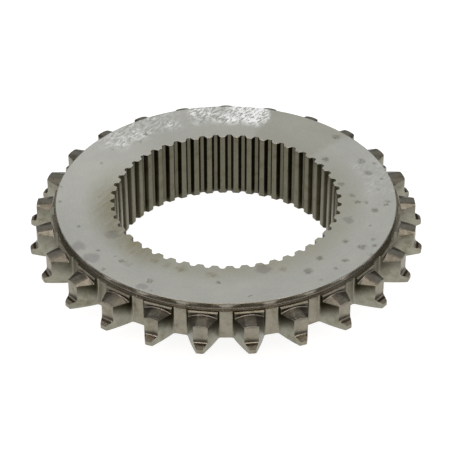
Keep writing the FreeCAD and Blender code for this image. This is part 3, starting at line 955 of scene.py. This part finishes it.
tree, shader, place, colour = worked_steel(
    "milled_flank", "8F8E80", stain="C4BEA6", roughness=(0.35, 0.46),
    marks=(0.3, 30.0, 0.3), depth=0.015, contrast=1.5,
)
uneven = ragged(tree, place, 0.3, 2.0)
uneven_height = add_node(tree, "SeparateXYZ", (uneven,), output="Z")
climb = (radius_of(tree, uneven), -SHADE_SLOPE, uneven_height)
climb = add_node(tree, "Math", climb, TIMES_PLUS)
top = LEDGE_LEVEL - SHADE_SLOPE * FLOOR_RADIUS
# Painted shade high up on the flanks, most at the front.
painted_light_area = add_node(tree, "MapRange", (climb, top - 9.0, top - 3.5, 0.0, 1.0), SMOOTH)
front = sector_mask(tree, heading_of(tree, place), FRONT)
front = add_node(tree, "MapRange", (front, 0.0, 1.0, 0.35, 1.0))
tree.links.new(stained(tree, colour, "665F4C", painted_light_area, front), shader.inputs["Base Color"])
print("a flank's node tree has", len(tree.nodes), "nodes")

# %% [markdown]
# The step of each toe is glossy and painted dark, a painted reflection of the dark room above
# it. Towards the nose the painted dark fades out, and the bare steel there is rough.

# %% Material: the step, painted dark
tree, shader, place, colour = worked_steel(
    "step_painted_dark", "8E887C", stain="C0B8A6", roughness=(0.23, 0.34),
    marks=(0.3, 30.0, 0.3), depth=0.010, contrast=1.0,
)
radius = radius_of(tree, place)
in_step = (radius, LAND_RADIUS + 0.4, LAND_RADIUS + 0.8, 0.0, 1.0)
painted_dark = add_node(tree, "MapRange", in_step, SMOOTH)
at_nose = (radius, TOE_RADIUS - 1.3, TOE_RADIUS - 0.8, 0.0, 1.0)
edge_band = add_node(tree, "MapRange", at_nose, SMOOTH)
dark_amount = add_node(tree, "MapRange", (edge_band, 0.0, 1.0, 1.0, 0.2))
# Painted reflection of the dark room in the step, fading towards the nose.
tree.links.new(stained(tree, colour, "969082", painted_dark, dark_amount), shader.inputs["Base Color"])
rougher = add_node(tree, "MapRange", (edge_band, 0.0, 1.0, 0.26, 0.6))
tree.links.new(rougher, shader.inputs["Roughness"])
print("the step's node tree has", len(tree.nodes), "nodes")

# %% [markdown]
# The broach draws its lines along the axis. Painted shade darkens the grooves' flanks, and
# less of it their bottoms, while the tips of the spline stay bare.

# %% Material: the broached spline, and all materials on the ring
tree, shader, place, colour = worked_steel(
    "broached_spline", "6B695A", stain="D8D2C0", roughness=(0.27, 0.38),
    marks=(1.2, 60.0, 0.05), depth=0.010, contrast=1.0,
)
radius = radius_of(tree, place)
on_flank = (radius, SPLINE_RADIUS + 0.05, SPLINE_RADIUS + 0.45, 0.0, 1.0)
on_flank = add_node(tree, "MapRange", on_flank)
off_bottom = (radius, GROOVE_RADIUS - 0.25, GROOVE_RADIUS - 0.02, 1.0, 0.25)
off_bottom = add_node(tree, "MapRange", off_bottom)
# Painted shade in the grooves.
tree.links.new(stained(tree, colour, "989488", on_flank, off_bottom), shader.inputs["Base Color"])

for zone in ZONES:
    ring.data.materials.append(bpy.data.materials[zone])
print("materials on the ring:", len(ring.data.materials))

# %% [markdown]
# ## Camera
# The camera stands where the photographer's did. Its place was worked out from the ellipses
# of the top face and the bore: a long lens, a little over half a metre away, looking down at
# 36 degrees. It is turned about the middle of the top face, then stepped back.

# %% Camera
LENS_PIXELS = 2006.94  # focal length, in pixels of the photograph
FRAME_PIXELS = 458
ELEVATION = 36.173  # degrees
ROLL = -0.108
STEP_RIGHT, STEP_UP, STEP_BACK = 0.994, -10.18, 665.8  # mm

camera_data = bpy.data.cameras.new("camera")
camera_data.sensor_width = 36
camera_data.lens = LENS_PIXELS / FRAME_PIXELS * camera_data.sensor_width
camera_data.clip_end = 10
camera = bpy.data.objects.new("camera", camera_data)
bpy.context.scene.collection.objects.link(camera)
bpy.context.scene.camera = camera
target = Matrix.Translation((0, 0, RING_HEIGHT * MM))
tilt = Matrix.Rotation(math.radians(90 - ELEVATION), 4, "X")
roll = Matrix.Rotation(math.radians(ROLL), 4, "Z")
step = Matrix.Translation((STEP_RIGHT * MM, STEP_UP * MM, STEP_BACK * MM))
camera.matrix_world = target @ tilt @ roll @ step
print("lens in mm:", round(camera_data.lens, 2), "distance in mm:", STEP_BACK)

# %% [markdown]
# ## Floor
# The floor is a plain white sheet. It adds a little light of its own where the camera or a
# reflection looks at it, so it reads as white, and it still takes the ring's shadow.

# %% Floor
FLOOR_SIZE = 3.0  # metres from the middle to each side
FLOOR_GLOW = 0.87

floor_shape = bmesh.new()
bmesh.ops.create_grid(floor_shape, x_segments=1, y_segments=1, size=FLOOR_SIZE)
floor = to_object(floor_shape, "floor")
paper = bpy.data.materials.new("white_paper")
paper.use_nodes = True
tree = paper.node_tree
sheet = tree.nodes["Principled BSDF"]
sheet.inputs["Base Color"].default_value = linear("A6A6A6")
sheet.inputs["Roughness"].default_value = 0.9
sheet.inputs["Specular IOR Level"].default_value = 0
sheet.inputs["Emission Color"].default_value = (1, 1, 1, 1)
path = add_node(tree, "LightPath").node.outputs
seen = add_node(tree, "Math", (path["Is Camera Ray"], path["Is Glossy Ray"]), MOST)
seen = add_node(tree, "Math", (seen, path["Is Transmission Ray"]), MOST)
tree.links.new(overlap(tree, seen, FLOOR_GLOW), sheet.inputs["Emission Strength"])
floor.data.materials.append(paper)
print("floor across in m:", 2 * FLOOR_SIZE)

# %% [markdown]
# ## Studio light
# Steel shows what stands around it. A world made of soft shapes acts as the studio: a broad
# panel behind the ring that the top face mirrors, two warm softboxes overhead that the near
# sides of the roofs catch, dim walls at both sides, and a lamp high in front, which every
# small fillet turns into a thin bright line. The room between them is dark, and that gives
# steel its contrast.

# %% Studio light
ROOM_LEVEL = 0.13
WALL_LEVEL = 0.65
PANEL_LEVEL = 0.86
SOFTBOX_LEVEL = 6.4
LAMP_LEVEL = 3.6
ANY = (None, None)  # no limit on this side

world = bpy.data.worlds.new("studio")
bpy.context.scene.world = world
world.use_nodes = True
tree = world.node_tree
heading = add_node(tree, "TexCoord", output="Generated")
axes = add_node(tree, "SeparateXYZ", (heading,)).node.outputs
forward, upward = axes["Y"], axes["Z"]
sideways = add_node(tree, "Math", (axes["X"],), {"operation": "ABSOLUTE"})


def soft_patch(*limits):
    """A patch of sky, 1 between the limits of each value: starts, is full, and two more."""
    sides = []
    for value, (start, full), (still_full, end) in limits:
        if start is not None:
            sides.append(add_node(tree, "MapRange", (value, start, full, 0.0, 1.0), SMOOTH))
        if end is not None:
            sides.append(add_node(tree, "MapRange", (value, still_full, end, 1.0, 0.0), SMOOTH))
    return overlap(tree, *sides)


walls = soft_patch((sideways, (0.5, 0.65), ANY), (upward, (0.15, 0.35), (0.75, 0.85)))
panel = soft_patch(
    (sideways, ANY, (0.26, 0.36)), (upward, (0.22, 0.36), (0.66, 0.82)),
    (forward, (0.1, 0.4), ANY),
)
softbox = soft_patch(
    (upward, (0.84, 0.90), ANY), (forward, (0.10, 0.20), (0.40, 0.52)),
    (sideways, (0.06, 0.11), (0.22, 0.32)),
)
lamp = soft_patch((upward, (0.69, 0.74), (0.88, 0.91)), (forward, ANY, (-0.35, -0.25)))
camera_ray = add_node(tree, "LightPath", output="Is Camera Ray")
light = (ROOM_LEVEL, ROOM_LEVEL, ROOM_LEVEL, 1)
for patch, level, code in (
    (walls, WALL_LEVEL, "FFFFFF"), (panel, PANEL_LEVEL, "FFFFFF"),
    (softbox, SOFTBOX_LEVEL, "FFF4EE"), (lamp, LAMP_LEVEL, "FFF6EE"), (camera_ray, 1, "FFFFFF"),
):
    glow = [channel * level for channel in linear(code)[:3]] + [1]
    light = add_node(tree, "Mix", {AMOUNT: patch, BASE: light, LAYER: glow}, COVER, MIXED)
tree.links.new(light, tree.nodes["Background"].inputs["Color"])
bpy.context.scene.view_settings.view_transform = "Standard"
print("nodes of the studio:", len(tree.nodes))
